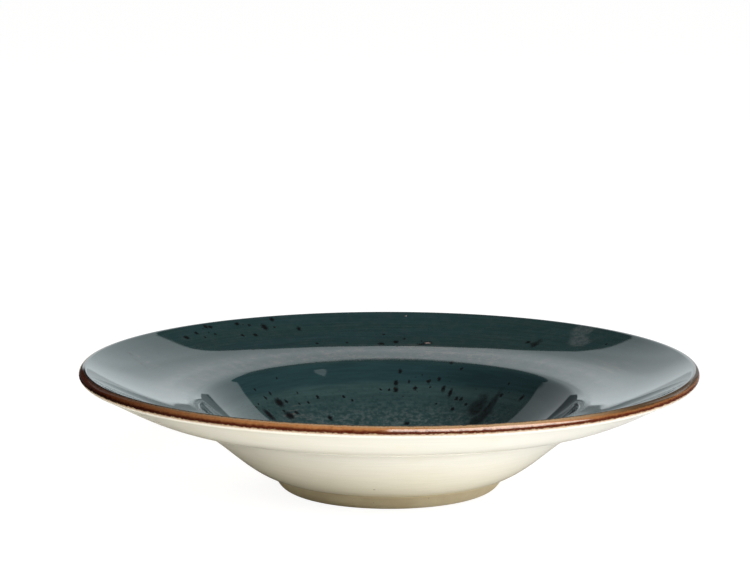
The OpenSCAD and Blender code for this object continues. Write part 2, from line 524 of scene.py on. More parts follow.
LAND_CENTRE = Vector((LAND_OUT_R - LAND_W, LAND_ROUND))
LAND_END = LAND_CENTRE + LAND_ROUND * inner_side(RECESS_DEG)
CEILING_CENTRE = Vector(
    (
        LAND_END.x
        - (RECESS_H - LAND_END.y) / math.tan(math.radians(RECESS_DEG))
        - reach(RECESS_ROUND, RECESS_DEG),
        RECESS_H - RECESS_ROUND,
    )
)


def face_line():
    """The clay under the face glaze, from the axis to the lip's crown."""
    return joined(
        [Vector((0, FLOOR_H)), WELL[0]],
        [curve_point(WELL, i / CURVE_STEPS) for i in range(CURVE_STEPS + 1)],
        arc(
            SHOULDER_LOW + SHOULDER_ROUND * down_side(WALL_DEG),
            SHOULDER_ROUND,
            up_side,
            WALL_DEG,
            RIM_IN_DEG,
            ROUND_STEPS,
        ),
        curve(
            SHOULDER_HIGH,
            climb(RIM_IN_DEG),
            LIP_CENTRE + LIP_CLAY_R * up_side(RIM_OUT_DEG),
            climb(RIM_OUT_DEG),
            RIM_IN_HANDLE_SHARE,
            RIM_OUT_HANDLE_SHARE,
        ),
        lip_arc(RIM_OUT_DEG + 90, BAND_TOP_DEG),
    )


def band_line():
    """The clay under the brown band, round the lip."""
    return lip_arc(BAND_TOP_DEG, BAND_END_DEG)


def underside_line():
    """The clay under the underside's glaze, from the lip to the bare foot."""
    crease_reach = reach(CREASE_ROUND, WALL_TOP_DEG - UNDER_IN_DEG)
    crease_high = CREASE + crease_reach * climb(UNDER_IN_DEG)
    crease_low = CREASE - crease_reach * climb(WALL_TOP_DEG)
    foot_high = FOOT_TOP + reach(FOOT_CREASE_ROUND, FOOT_DEG - WALL_FOOT_DEG) * climb(WALL_FOOT_DEG)
    return joined(
        lip_arc(BAND_END_DEG, UNDER_OUT_DEG - 90),
        curve(
            LIP_CENTRE + LIP_CLAY_R * down_side(UNDER_OUT_DEG),
            -climb(UNDER_OUT_DEG),
            crease_high,
            -climb(UNDER_IN_DEG),
        ),
        arc(
            crease_high + CREASE_ROUND * down_side(UNDER_IN_DEG),
            CREASE_ROUND,
            up_side,
            UNDER_IN_DEG,
            WALL_TOP_DEG,
            ROUND_STEPS,
        ),
        curve(crease_low, -climb(WALL_TOP_DEG), WALL_POINT, -climb(WALL_OUT_DEG)),
        curve(WALL_POINT, -climb(WALL_OUT_DEG), foot_high, -climb(WALL_FOOT_DEG)),
        arc(
            foot_high + FOOT_CREASE_ROUND * down_side(WALL_FOOT_DEG),
            FOOT_CREASE_ROUND,
            up_side,
            WALL_FOOT_DEG,
            FOOT_DEG,
            ROUND_STEPS,
        ),
    )


def foot_line():
    """The bare clay that stands on the table, from coat to coat."""
    return [
        underside_line()[-1],
        *arc(Vector((LAND_OUT_R, FOOT_ROUND)), FOOT_ROUND, down_side, FOOT_DEG, 0, ROUND_STEPS),
        *arc(LAND_CENTRE, LAND_ROUND, inner_side, 0, RECESS_DEG, ROUND_STEPS),
    ]


def recess_line():
    """The clay under the recess's glaze, from the foot ring to the axis."""
    ceiling = Vector((CEILING_CENTRE.x, RECESS_H))
    return joined(
        [LAND_END, *arc(CEILING_CENTRE, RECESS_ROUND, outer_side, RECESS_DEG, 0, ROUND_STEPS)],
        curve(ceiling, Vector((-1, 0)), Vector((0, RECESS_H + RECESS_DOME)), Vector((-1, 0))),
    )


def towards(start, end):
    """The unit vector from one point towards another."""
    return (end - start).normalized()


def outward(start, end):
    """The outward side of a stretch of the outline, which lies to the left of its run."""
    way = towards(start, end)
    return Vector((-way.y, way.x))


def side_at(line, i):
    """The outward side at a point of a line, nearly square to it and upright on the axis."""
    near = line[max(i - 1, 0) : max(i, 1) + 2]
    sides = [outward(a, b) for a, b in zip(near, near[1:])]
    if 0 < i < len(line) - 1:
        # The stretch after the point counts twice
        sides.append(sides[-1])
    mean = sum(sides, Vector((0, 0))).normalized()
    if line[i].x == 0:
        return Vector((0, math.copysign(1, mean.y)))
    return mean


def even(share, point):
    """An even coat's thickness."""
    return GLAZE_T


def hollowed(share, point):
    """The face's coat, which ran a little thin just outside the well's shoulder."""
    away = min(1, abs(point.x - HOLLOW_R) / HOLLOW_HALF_W)
    return GLAZE_T - HOLLOW_T * math.cos(away * math.pi / 2) ** 2


def coat_outline(line, thickness=even, start_side=None, end_side=None):
    """A coat's closed section: the clay's line, and the glaze's surface back above it."""
    last = len(line) - 1
    surface = []
    for i, point in enumerate(line):
        side = side_at(line, i)
        if i == 0 and start_side:
            side = start_side
        if i == last and end_side:
            side = end_side
        surface.append(point + side * thickness(i / last, point))
    return line + surface[::-1]


def thin_at_end(share, point):
    """A coat's thickness where it thins out over the last stretch of its line."""
    if share < THIN_FROM_SHARE:
        return GLAZE_T
    return GLAZE_T + (EDGE_T - GLAZE_T) * (share - THIN_FROM_SHARE) / (1 - THIN_FROM_SHARE)


def thin_at_start(share, point):
    """A coat's thickness where it grows from thin over the first stretch of its line."""
    return thin_at_end(1 - share, point)


def from_bead(point):
    """The bead's radius through a point, along which the lip's coats meet."""
    return towards(LIP_CENTRE, point)


def sag_at(place):
    """How far the kiln let the rim down at a place."""
    turn = math.degrees(math.atan2(place.y, place.x)) - SAG_TURN_DEG
    turn = abs((turn + 180) % 360 - 180)
    if turn > SAG_HALF_DEG:
        return 0
    out = (place.xy.length - SAG_FROM_R) / (RIM_R - SAG_FROM_R)
    return SAG_DEPTH * math.cos(math.radians(90 * turn / SAG_HALF_DEG)) ** 2 * max(0, out)


def turned(name, outline, steps=TURN_STEPS):
    """A closed solid turned about the bowl's axis from its section."""
    shape = bmesh.new()
    points = [shape.verts.new((point.x, 0, point.y)) for point in outline]
    sides = [
        shape.edges.new(pair)
        for pair in zip(points, points[1:] + points[:1])
        if pair[0].co.x > 0 or pair[1].co.x > 0
    ]
    bmesh.ops.spin(
        shape,
        geom=points + sides,
        cent=(0, 0, 0),
        axis=(0, 0, 1),
        angle=math.tau / SECTORS,
        steps=steps // SECTORS,
    )
    sector = shape.verts[:] + shape.edges[:] + shape.faces[:]
    for k in range(1, SECTORS):
        copy = bmesh.ops.duplicate(shape, geom=sector)
        moved = [part for part in copy["geom"] if isinstance(part, bmesh.types.BMVert)]
        turn = Matrix.Rotation(k * math.tau / SECTORS, 3, "Z")
        bmesh.ops.rotate(shape, verts=moved, cent=(0, 0, 0), matrix=turn)
    bmesh.ops.remove_doubles(shape, verts=shape.verts, dist=0.001 * MM)
    bmesh.ops.recalc_face_normals(shape, faces=shape.faces)
    for face in shape.faces:
        face.smooth = True
    for edge in shape.edges:
        edge.smooth = edge.calc_face_angle(0) < math.radians(CRISP_DEG)
    round_lip = shape.verts.layers.float.new("lip_deg")
    for vert in shape.verts:
        from_centre = Vector((vert.co.xy.length, vert.co.z)) - LIP_CENTRE
        vert[round_lip] = math.degrees(math.atan2(from_centre.y, from_centre.x))
        vert.co.z -= sag_at(vert.co)
    mesh = bpy.data.meshes.new(name)
    shape.to_mesh(mesh)
    shape.free()
    piece = bpy.data.objects.new(name, mesh)
    bpy.context.scene.collection.objects.link(piece)
    return piece


def dressed(piece, node, material):
    """Gives a piece its finish, sets it under its body and hides the node that it stands for."""
    piece.data.materials.append(material)
    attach(piece, "root")
    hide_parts(node)


def node(tree, kind, values=None, **settings):
    """Adds a shader node; each value is a number, a colour or another node's output."""
    made = tree.nodes.new("ShaderNode" + kind)
    for key, value in settings.items():
        setattr(made, key, value)
    for key, value in (values or {}).items():
        if isinstance(value, bpy.types.NodeSocket):
            tree.links.new(value, made.inputs[key])
        else:
            made.inputs[key].default_value = value
    return made


def combine(tree, operation, first, second=0.0, third=0.0):
    """The output of a Math node."""
    return node(tree, "Math", {0: first, 1: second, 2: third}, operation=operation).outputs[0]


def eased(tree, value, low, high, at_low=0.0, at_high=1.0):
    """A value eased from one level to another."""
    values = {"Value": value, "From Min": low, "From Max": high, "To Min": at_low, "To Max": at_high}
    return node(tree, "MapRange", values, interpolation_type="SMOOTHSTEP").outputs["Result"]


# The sockets of a Mix node that blends colours
MIX_SHARE = 0
MIX_FIRST = 6
MIX_SECOND = 7
MIX_RESULT = 2


def blended(tree, share, first, second, blend="MIX"):
    """One colour over another, by a share."""
    values = {MIX_SHARE: share, MIX_FIRST: first, MIX_SECOND: second}
    return node(tree, "Mix", values, data_type="RGBA", blend_type=blend).outputs[MIX_RESULT]


def product(tree, *values):
    """Values multiplied together."""
    result = values[0]
    for value in values[1:]:
        result = combine(tree, "MULTIPLY", result, value)
    return result


def strongest(tree, *masks):
    """The strongest of several masks at each place."""
    most = masks[0]
    for mask in masks[1:]:
        most = combine(tree, "MAXIMUM", most, mask)
    return most


def less(tree, mask, share):
    """A level that falls from 1 by a share where a mask is whole."""
    return combine(tree, "MULTIPLY_ADD", mask, -share, 1.0)


def nudged(tree, value, noise, reach):
    """A value pushed up and down by noise about one half."""
    return combine(tree, "MULTIPLY_ADD", combine(tree, "SUBTRACT", noise, 0.5), reach, value)


def between(tree, value, rise_from, rise_to, fall_from, fall_to, beyond=0.0):
    """1 between a rise and a fall, and a lower level beyond the fall."""
    rising = eased(tree, value, rise_from, rise_to)
    return product(tree, rising, eased(tree, value, fall_from, fall_to, 1, beyond))


def window(tree, value, bounds, edge):
    """1 between two bounds and 0 outside them, with soft edges."""
    low, high = bounds
    return between(tree, value, low - edge, low + edge, high - edge, high + edge)


def laid_over(tree, tone, second, mask, share=1.0):
    """A colour with another over it, by a mask and a share."""
    return blended(tree, product(tree, mask, share), tone, second)


def new_material(name):
    """An empty material with its shader."""
    material = bpy.data.materials.new(name)
    material.use_nodes = True
    return material, material.node_tree, material.node_tree.nodes["Principled BSDF"]


def new_group(name, inputs, outputs):
    """An empty shader node group, with its sockets as names and kinds, and its two ends."""
    group = bpy.data.node_groups.new(name, "ShaderNodeTree")
    for label, kind in inputs:
        group.interface.new_socket(name=label, in_out="INPUT", socket_type="NodeSocket" + kind)
    for label, kind in outputs:
        group.interface.new_socket(name=label, in_out="OUTPUT", socket_type="NodeSocket" + kind)
    start = group.nodes.new("NodeGroupInput").outputs
    end = group.nodes.new("NodeGroupOutput").inputs
    return group, start, end


def vector(tree, operation, first, second=(0, 0, 0)):
    """The vector that comes out of a Vector Math node."""
    return node(tree, "VectorMath", {0: first, 1: second}, operation=operation).outputs["Vector"]


def scaled(tree, value, scale):
    """A vector made longer or shorter."""
    return node(tree, "VectorMath", {0: value, "Scale": scale}, operation="SCALE").outputs["Vector"]


def length(tree, value):
    """A vector's length."""
    return node(tree, "VectorMath", {0: value}, operation="LENGTH").outputs["Value"]


def clouds(tree, place, scale, detail=3.0, roughness=0.55):
    """Soft noise about one half."""
    values = {"Vector": place, "Scale": scale, "Detail": detail, "Roughness": roughness}
    return node(tree, "TexNoise", values).outputs["Fac"]


def make_turning_streaks():
    """Rings and short streaks round the bowl, left by the wheel and by the brush of glaze."""
    group, start, end = new_group(
        "turning_streaks",
        [("Place", "Vector"), ("Rings", "Float"), ("Wander", "Float")],
        [("Streak", "Float")],
    )
    flat = vector(group, "MULTIPLY", start["Place"], (1, 1, 0))
    around = scaled(group, vector(group, "NORMALIZE", flat), start["Wander"])
    split = node(group, "SeparateXYZ", {0: around}).outputs
    rings = combine(group, "MULTIPLY", length(group, flat), start["Rings"])
    spot = node(group, "CombineXYZ", {0: split[0], 1: split[1], 2: rings}).outputs[0]
    group.links.new(clouds(group, spot, 1.0, detail=4.0, roughness=0.6), end["Streak"])
    return group


def make_patch():
    """A ragged oval mask, laid radially at a place."""
    group, start, end = new_group(
        "patch",
        [
            ("Place", "Vector"),
            ("Centre", "Vector"),
            ("Turn", "Float"),
            ("Reach", "Vector"),
            ("Soft", "Float"),
        ],
        [("Mask", "Float")],
    )
    away = vector(group, "SUBTRACT", start["Place"], start["Centre"])
    turn_back = combine(group, "MULTIPLY", start["Turn"], -1.0)
    laid = node(group, "VectorRotate", {"Vector": away, "Angle": turn_back}, rotation_type="Z_AXIS")
    share = length(group, vector(group, "DIVIDE", laid.outputs[0], start["Reach"]))
    near = combine(group, "SUBTRACT", 1.0, start["Soft"])
    far = combine(group, "ADD", 1.0, start["Soft"])
    group.links.new(eased(group, share, near, far, 1.0, 0.0), end["Mask"])
    return group


def make_spatter():
    """Fine specks strewn at random, as many as a share of the cells that could hold one."""
    group, start, end = new_group(
        "spatter",
        [("Place", "Vector"), ("Per Length", "Float"), ("Share", "Float"), ("Size", "Float")],
        [("Mask", "Float")],
    )
    values = {"Vector": start["Place"], "Scale": start["Per Length"], "Randomness": 1.0}
    cells = node(group, "TexVoronoi", values, feature="F1")
    chance = node(group, "SeparateColor", {0: cells.outputs["Color"]}).outputs
    kept = combine(group, "LESS_THAN", chance[0], start["Share"])
    wide = combine(group, "MULTIPLY", start["Size"], combine(group, "ADD", chance[1], 0.3))
    inner = combine(group, "MULTIPLY", wide, 0.5)
    dot = eased(group, cells.outputs["Distance"], inner, wide, 1.0, 0.0)
    group.links.new(combine(group, "MULTIPLY", kept, dot), end["Mask"])
    return group


def make_ripple():
    """The height of a glaze's surface: long soft waves, faint turning rings and a fine skin."""
    inputs = [("Place", "Vector"), ("Streak", "Float")]
    group, start, end = new_group("ripple", inputs, [("Height", "Float")])
    waves = clouds(group, start["Place"], 0.045, detail=1.0, roughness=0.4)
    skin = clouds(group, start["Place"], 0.5, detail=1.0, roughness=0.4)
    skin = combine(group, "MULTIPLY", skin, 0.03)
    rings = combine(group, "MULTIPLY", start["Streak"], 0.06)
    height = combine(group, "ADD", combine(group, "ADD", waves, skin), rings)
    group.links.new(height, end["Height"])
    return group


def grouped(tree, group, values):
    """The output of one of the shared node groups."""
    return node(tree, "Group", values, node_tree=group).outputs[0]


def in_mm(tree):
    """A piece's own place, in millimetres."""
    return scaled(tree, node(tree, "TexCoord").outputs["Object"], 1 / MM)


def jogged(tree, place, scale, amount):
    """A place pushed about, flat, so that a shape drawn there gets ragged edges."""
    values = {"Vector": place, "Scale": scale, "Detail": 3.0}
    push = vector(tree, "SUBTRACT", node(tree, "TexNoise", values).outputs["Color"], (0.5, 0.5, 0.5))
    return vector(tree, "MULTIPLY", vector(tree, "ADD", place, scaled(tree, push, amount)), (1, 1, 0))


def laid_patches(tree, group, place, patches, soft, scale=1.0):
    """One mask of patches given in millimetres: x, y, half the reach outwards, half the width."""
    masks = []
    for x, y, out, across in patches:
        values = {
            "Place": place,
            "Centre": (x, y, 0),
            "Turn": math.atan2(y, x),
            "Reach": (out * scale, across * scale, 1),
            "Soft": soft,
        }
        masks.append(grouped(tree, group, values))
    return strongest(tree, *masks)


def rough_surface(tree, shader, height, depth):
    """Ties a height to the shader's normal."""
    bump = node(tree, "Bump", {"Distance": depth, "Height": height})
    tree.links.new(bump.outputs["Normal"], shader.inputs["Normal"])


def blue_glaze(kit):
    """Dark teal blue: rings, a greyer mottled well, pale patches, streaks, burnt specks and painted
    shade in the well.
    """
    material, tree, shader = new_material("blue_glaze")
    place = in_mm(tree)
    flat = vector(tree, "MULTIPLY", place, (1, 1, 0))
    radius = length(tree, flat)
    ragged = jogged(tree, place, scale=0.9, amount=1.6)
    drifting = jogged(tree, place, scale=0.12, amount=9.0)
    broad = grouped(tree, kit["streaks"], {"Place": place, "Rings": 0.16, "Wander": 1.6})
    fine = grouped(tree, kit["streaks"], {"Place": place, "Rings": 0.9, "Wander": 5.0})
    blotch = clouds(tree, place, 0.03, detail=4.0, roughness=0.6)
    grain = clouds(tree, place, 0.45, detail=5.0, roughness=0.7)
    film_grain = clouds(tree, place, 0.22, detail=5.0, roughness=0.75)

    tone = blended(tree, eased(tree, broad, 0.3, 0.7), TEAL_GREEN, TEAL_BLUE)
    tone = laid_over(tree, tone, TEAL_DEEP, eased(tree, blotch, 0.55, 0.8), share=0.5)
    # Darker bluish wall of the well: partly the glaze's own tone, partly painted shade
    tone = laid_over(tree, tone, TEAL_WALL_SHADED, between(tree, radius, *SHADED_WELL_WALL_SPAN), share=0.85)
    ring_wave = nudged(tree, radius, broad, reach=5.0)
    in_well = eased(tree, ring_wave, *WELL_EDGE)
    tone = laid_over(tree, tone, TEAL_GREY, in_well, share=0.9)
    tone = laid_over(tree, tone, TEAL_PALE, between(tree, ring_wave, *PALE_RING_SPAN), share=0.3)
    tone = laid_over(tree, tone, TEAL_GREY, eased(tree, radius, *OUTER_RIM_EDGE), share=0.35)

    mottle = product(tree, eased(tree, grain, 0.46, 0.62), eased(tree, radius, *MOTTLED_EDGE))
    tone = laid_over(tree, tone, MOTTLE, mottle, share=0.33)
    filmed = between(tree, radius, *FILM_SPAN, FILM_BEYOND)
    film = product(tree, eased(tree, film_grain, 0.42, 0.66), filmed)
    tone = laid_over(tree, tone, FILM, film, share=0.27)
    dark_grain = product(tree, eased(tree, grain, 0.5, 0.36), in_well)
    tone = laid_over(tree, tone, TEAL_DEEP, dark_grain, share=0.5)
    rightward = node(tree, "SeparateXYZ", {0: place}).outputs[0]
    # Painted shade: the right side of the well is darkened
    shaded_right_side = product(tree, eased(tree, rightward, *SHADED_WELL_RIGHT), eased(tree, radius, *SHADED_WELL_EDGE))
    shade = product(tree, eased(tree, fine, 0.35, 0.65, 0.9, 1.12), less(tree, shaded_right_side, share=0.3))
    tone = blended(tree, 1.0, tone, shade, "MULTIPLY")

    pale = laid_patches(tree, kit["patch"], drifting, PALE_PATCHES, soft=0.4)
    tone = laid_over(tree, tone, MOTTLE, pale, eased(tree, grain, 0.4, 0.6, 0.15, 0.4))
    dark = laid_patches(tree, kit["patch"], drifting, DARK_PATCHES, soft=0.5)
    tone = laid_over(tree, tone, BURNT, dark, eased(tree, grain, 0.4, 0.6, 0.6, 0.95))
    tan = laid_patches(tree, kit["patch"], drifting, TAN_PATCHES, soft=0.6)
    tone = laid_over(tree, tone, TAN, tan, eased(tree, fine, 0.48, 0.64, 0, 0.3))

    spots = laid_patches(tree, kit["patch"], ragged, SPECKS, soft=0.55, scale=SPECK_SCALE)
    near_specks = laid_patches(tree, kit["patch"], drifting, SPECKLED_PLACES, soft=0.5)
    sown = combine(tree, "MULTIPLY_ADD", near_specks, DUST_NEAR_SHARE, DUST_SHARE)
    values = {"Place": ragged, "Per Length": 0.33, "Share": sown, "Size": 0.28}
    dust = product(tree, grouped(tree, kit["spatter"], values), 0.85)
    specks = strongest(tree, spots, dust)
    speck_tone = blended(tree, eased(tree, grain, 0.56, 0.74), BURNT, RUST)
    tone = blended(tree, specks, tone, speck_tone)
    chips = laid_patches(tree, kit["patch"], ragged, CHIPS, soft=0.35)
    tone = blended(tree, chips, tone, CHIP_PALE)
    tree.links.new(tone, shader.inputs["Base Color"])

    haze = eased(tree, grain, 0.45, 0.7)
    rough = combine(tree, "MULTIPLY_ADD", haze, HAZE_ROUGHNESS, FACE_ROUGHNESS)
    rough = combine(tree, "MULTIPLY_ADD", specks, SPECK_ROUGHNESS, rough)
    on_shoulder = between(tree, radius, *SOFT_SHOULDER_SPAN)
    rough = combine(tree, "MULTIPLY_ADD", on_shoulder, SHOULDER_ROUGHNESS, rough)
    tree.links.new(rough, shader.inputs["Roughness"])
    ripple = grouped(tree, kit["ripple"], {"Place": place, "Streak": broad})
    pitted = combine(tree, "MULTIPLY_ADD", specks, -0.02, ripple)
    rough_surface(tree, shader, pitted, depth=0.06 * MM)
    return material


def brown_glaze(kit):
    """Orange brown over the lip, pale near its top, burnt dark at its foot, darker at the left."""
    material, tree, shader = new_material("brown_glaze")
    place = in_mm(tree)
    split = node(tree, "SeparateXYZ", {0: place}).outputs
    turn = combine(tree, "DEGREES", combine(tree, "ARCTAN2", split[1], split[0]))
    lip = node(tree, "Attribute", attribute_name="lip_deg").outputs["Fac"]
    grain = clouds(tree, place, 0.5, detail=5.0, roughness=0.7)
    fine = clouds(tree, place, 2.2, detail=3.0, roughness=0.6)
    ragged = nudged(tree, lip, grain, BAND_GRAIN_DEG)
    ragged = nudged(tree, ragged, fine, BAND_FINE_DEG)

    tone = blended(tree, eased(tree, ragged, *ORANGE_DEG), BAND_RED, BAND_ORANGE)
    shift = eased(tree, turn, *GOLDEN_TURN, 0, GOLDEN_SHIFT_DEG)
    golden = combine(tree, "ADD", ragged, shift)
    tone = blended(tree, eased(tree, golden, *TAN_DEG), tone, BAND_TAN)
    tone = laid_over(tree, tone, BAND_TAN, eased(tree, fine, 0.46, 0.3), share=0.3)
    tone = blended(tree, eased(tree, ragged, *OLIVE_DEG), tone, BAND_OLIVE)
    tone = laid_over(tree, tone, BAND_RED, eased(tree, fine, 0.5, 0.7), share=0.55)

    # Darker towards the left end: partly thicker glaze, partly painted shade
    dark_and_shaded_back = eased(tree, turn, *DARK_AND_SHADED_BACK_TURN, 0, 0.5)
    dark_and_shade = strongest(tree, eased(tree, turn, *DARK_AND_SHADED_FRONT_TURN), dark_and_shaded_back)
    tone = blended(tree, dark_and_shade, tone, BAND_DARK_AND_SHADED, "MULTIPLY")
    at_right = between(tree, turn, *BURNT_TURN)
    burnt = product(tree, at_right, eased(tree, ragged, *BURNT_DEG), 0.9)
    tone = blended(tree, burnt, tone, BAND_EDGE)
    tone = laid_over(tree, tone, CREAM_TAN, eased(tree, ragged, *PALE_END_DEG), share=0.7)
    tree.links.new(tone, shader.inputs["Base Color"])

    glossy = eased(tree, ragged, *GLOSS_RISE_DEG, *GLOSS_LEVELS)
    glossy = product(tree, glossy, eased(tree, ragged, *GLOSS_FALL_DEG, 1, GLOSS_TOP_LEVEL))
    glossy = product(tree, glossy, less(tree, burnt, share=0.6), less(tree, dark_and_shade, share=0.75))
    gleam = eased(tree, lip, *GLEAM_DEG, 0, GLEAM_LEVEL)
    glossy = strongest(tree, glossy, product(tree, gleam, eased(tree, turn, *GLEAM_TURN)))
    glossy = eased(tree, between(tree, turn, *FRONT_TURN), 0, 1, GLOSS_AWAY_LEVEL, glossy)
    tree.links.new(glossy, shader.inputs["Coat Weight"])
    shader.inputs["Coat Roughness"].default_value = COAT_ROUGHNESS
    shader.inputs["Coat IOR"].default_value = COAT_IOR
    shader.inputs["Specular IOR Level"].default_value = 0
    shader.inputs["Roughness"].default_value = BAND_ROUGHNESS
    ripple = grouped(tree, kit["ripple"], {"Place": place, "Streak": fine})
    rough_surface(tree, shader, ripple, depth=0.05 * MM)
    return material


def cream_glaze(kit):
    """Warm cream, yellower towards the foot, with painted shade in tan just above it, and pinholes.
    """
    material, tree, shader = new_material("cream_glaze")
    place = in_mm(tree)
    flat = vector(tree, "MULTIPLY", place, (1, 1, 0))
    radius = length(tree, flat)
    broad = grouped(tree, kit["streaks"], {"Place": place, "Rings": 0.12, "Wander": 1.2})
    fine = grouped(tree, kit["streaks"], {"Place": place, "Rings": 0.8, "Wander": 4.0})
    drift = clouds(tree, place, 0.04, detail=3.0, roughness=0.5)
    grain = clouds(tree, place, 0.7, detail=4.0, roughness=0.6)

    wave = nudged(tree, radius, broad, reach=8.0)
    tone = blended(tree, eased(tree, wave, *YELLOW_EDGE), CREAM, CREAM_YELLOW)
    # Painted shade: tan just above the foot
    tone = laid_over(tree, tone, CREAM_TAN, eased(tree, wave, *FOOT_SHADE_EDGE), share=0.8)
    tone = laid_over(tree, tone, CREAM_YELLOW, eased(tree, drift, 0.5, 0.75), share=0.35)
    tone = blended(tree, 1.0, tone, eased(tree, fine, 0.3, 0.7, 0.97, 1.02), "MULTIPLY")
    lip = node(tree, "Attribute", attribute_name="lip_deg").outputs["Fac"]
    run = nudged(tree, lip, grain, reach=26.0)
    stained = product(tree, eased(tree, run, *STAINED_DEG), eased(tree, radius, *STAINED_EDGE))
    tone = laid_over(tree, tone, BAND_STAIN, stained, share=0.75)
    values = {"Place": place, "Per Length": 0.16, "Share": 0.1, "Size": 0.09}
    pinholes = grouped(tree, kit["spatter"], values)
    tone = laid_over(tree, tone, CREAM_PINHOLE, pinholes, share=0.6)
    tree.links.new(tone, shader.inputs["Base Color"])

    rough = combine(tree, "MULTIPLY_ADD", grain, CREAM_GRAIN_ROUGHNESS, CREAM_ROUGHNESS)
    tree.links.new(rough, shader.inputs["Roughness"])
    ripple = grouped(tree, kit["ripple"], {"Place": place, "Streak": broad})
    rough_surface(tree, shader, ripple, depth=0.08 * MM)
    return material


def bare_clay(kit):
    """Fired clay left bare on the foot ring: fine sand, darker grains and a rubbed land."""
    material, tree, shader = new_material("bare_clay")
    place = in_mm(tree)
    sand = clouds(tree, place, 2.5, detail=4.0, roughness=0.7)
    cloudy = clouds(tree, place, 0.08, detail=3.0, roughness=0.5)
    tone = blended(tree, eased(tree, cloudy, 0.35, 0.65), CLAY, CLAY_WARM)
    tone = laid_over(tree, tone, CLAY_DARK, eased(tree, sand, 0.5, 0.7), share=0.35)
    values = {"Place": place, "Per Length": 0.6, "Share": 0.14, "Size": 0.2}
    tone = laid_over(tree, tone, CLAY_GRAIN, grouped(tree, kit["spatter"], values), share=0.7)
    height = node(tree, "SeparateXYZ", {0: place}).outputs[2]
    rubbed = eased(tree, height, *RUBBED_H)
    tone = laid_over(tree, tone, CLAY_RUBBED, rubbed, share=0.35)
    tree.links.new(tone, shader.inputs["Base Color"])
    rough = eased(tree, rubbed, 0, 1, CLAY_ROUGHNESS, RUBBED_ROUGHNESS)
    tree.links.new(rough, shader.inputs["Roughness"])
    rough_surface(tree, shader, sand, depth=0.12 * MM)
    return material


def make_bowl():
    """The clay body and its four coats of glaze."""
    face, band, under, recess = face_line(), band_line(), underside_line(), recess_line()
    clay_section = joined(face, band, under, foot_line(), recess)
    face_section = coat_outline(face, hollowed, end_side=from_bead(face[-1]))
    band_section = coat_outline(band, start_side=from_bead(band[0]), end_side=from_bead(band[-1]))
    under_section = coat_outline(under, thin_at_end, start_side=from_bead(under[0]))
    recess_section = coat_outline(recess, thin_at_start)
    kit = {
        "streaks": make_turning_streaks(),
        "patch": make_patch(),
        "spatter": make_spatter(),
        "ripple": make_ripple(),
    }
    cream = cream_glaze(kit)
    dressed(turned("clay_body", clay_section, CLAY_TURN_STEPS), "clay_body", bare_clay(kit))
    dressed(turned("face_glaze", face_section), "face_glaze", blue_glaze(kit))
    dressed(turned("rim_band", band_section), "rim_band", brown_glaze(kit))
    dressed(turned("underside_glaze", under_section), "underside_glaze", cream)
    dressed(turned("recess_glaze", recess_section), "recess_glaze", cream)


def make_floor():
    """A plain white floor that keeps the bowl's shadow and glows up at it."""
    shape = bmesh.new()
    bmesh.ops.create_grid(shape, x_segments=1, y_segments=1, size=FLOOR_HALF_W)
    mesh = bpy.data.meshes.new("floor")
    shape.to_mesh(mesh)
    shape.free()
    floor = bpy.data.objects.new("floor", mesh)
    bpy.context.scene.collection.objects.link(floor)
    material = bpy.data.materials.new("floor")
    material.use_nodes = True
    tree = material.node_tree
    tree.nodes.remove(tree.nodes["Principled BSDF"])
    path = node(tree, "LightPath").outputs
    shade = blended(tree, path["Is Camera Ray"], FLOOR_WHITE, FLOOR_SEEN)
    shade = blended(tree, path["Is Glossy Ray"], shade, FLOOR_MIRRORED)
    diffuse = node(tree, "BsdfDiffuse", {"Color": shade})

    place = node(tree, "TexCoord").outputs["Object"]
    across, along = node(tree, "SeparateXYZ", {0: place}).outputs[:2]
    from_shade = length(tree, vector(tree, "SUBTRACT", place, FLOOR_SHADE_PLACE))
    cast = eased(tree, across, *FLOOR_LEVEL_EDGE, FLOOR_GLOW_LEFT, FLOOR_GLOW_RIGHT)
    cast = product(tree, cast, eased(tree, from_shade, *FLOOR_SHADE_EDGE, FLOOR_GLOW_SHADED, 1))
    aside = combine(tree, "ABSOLUTE", across)
    aside = combine(tree, "MULTIPLY_ADD", along, -FLOOR_SIDE_SPREAD, aside)
    mirrored = eased(tree, aside, *FLOOR_SIDE_EDGE, 0, FLOOR_GLOW_MIRRORED)
    mirrored = product(tree, mirrored, eased(tree, along, *FLOOR_BACK_EDGE))
    level = eased(tree, path["Is Camera Ray"], 0, 1, cast, FLOOR_GLOW_SEEN)
    level = eased(tree, path["Is Glossy Ray"], 0, 1, level, mirrored)
    tinted = eased(tree, across, *FLOOR_TINT_EDGE)
    tint = blended(tree, tinted, FLOOR_GLOW_WARM, FLOOR_GLOW_COOL)
    tint = blended(tree, path["Is Camera Ray"], tint, WHITE)
    glow = node(tree, "Emission", {"Color": tint, "Strength": level})
    both = node(tree, "AddShader", {0: diffuse.outputs[0], 1: glow.outputs[0]})
    tree.links.new(both.outputs[0], tree.nodes["Material Output"].inputs["Surface"])
    floor.data.materials.append(material)


